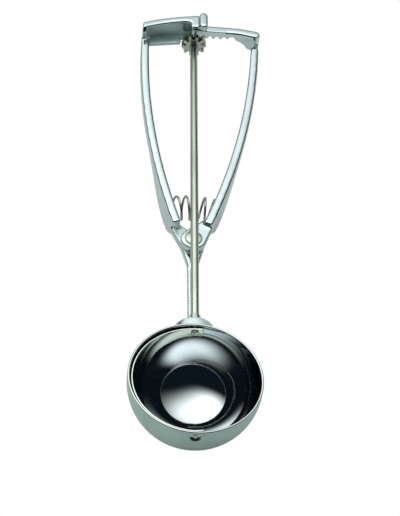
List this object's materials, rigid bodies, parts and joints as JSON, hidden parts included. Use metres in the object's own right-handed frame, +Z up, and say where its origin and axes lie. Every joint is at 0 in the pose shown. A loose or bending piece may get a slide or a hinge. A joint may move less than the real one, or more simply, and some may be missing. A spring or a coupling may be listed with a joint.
{
  "type": "lever ice cream scoop",
  "caption": "Squeeze-handle ice cream scoop whose rack and pinion turn a rod that sweeps a scraper blade round the inside of a round bowl.",
  "frame": {"origin": "middle of the scoop's box at the height of the table it lies on", "axes": "+Y along the handle away from the bowl, +Z up from the table out of the bowl's mouth, +X towards the squeeze lever"},
  "size_m": [0.0564, 0.2326, 0.0318],
  "materials": {
    "polished_steel": "polished stainless sheet, satin on the outside",
    "plated_casting": "polished bright plate over a die casting",
    "nickel": "satin nickel plate",
    "spring_steel": "bare drawn wire"
  },
  "bodies": {
    "frame": {"bowl": "polished_steel", "fixed_handle": "plated_casting", "pivot_rivet": "nickel", "pivot_washer": "nickel", "return_spring": "spring_steel", "rod_bush": "nickel"},
    "lever": {"squeeze_lever": "plated_casting"},
    "drive": {"drive_rod": "nickel", "pinion": "nickel", "scraper": "polished_steel", "scraper_end_pin": "nickel"}
  },
  "joints": [
    {"name": "lever_squeeze", "type": "hinge", "parent": "frame", "child": "lever", "pos_m": [-0.00217, -0.01389, 0.01141], "axis": [0, 0.097, 0.9953], "range_deg": [0, 6.87], "stiffness_Nm_per_rad": 0.5, "springref_deg": -5.73, "deforming": ["return_spring"]},
    {"name": "rod_turn", "type": "hinge", "parent": "frame", "child": "drive", "pos_m": [-0.00217, 0.049, 0.01242], "axis": [0, 0.9953, -0.097], "range_deg": [-166, 0]}
  ],
  "couplings": [
    {"joint": "rod_turn", "follows": "lever_squeeze", "ratio": -24.16}
  ]
}
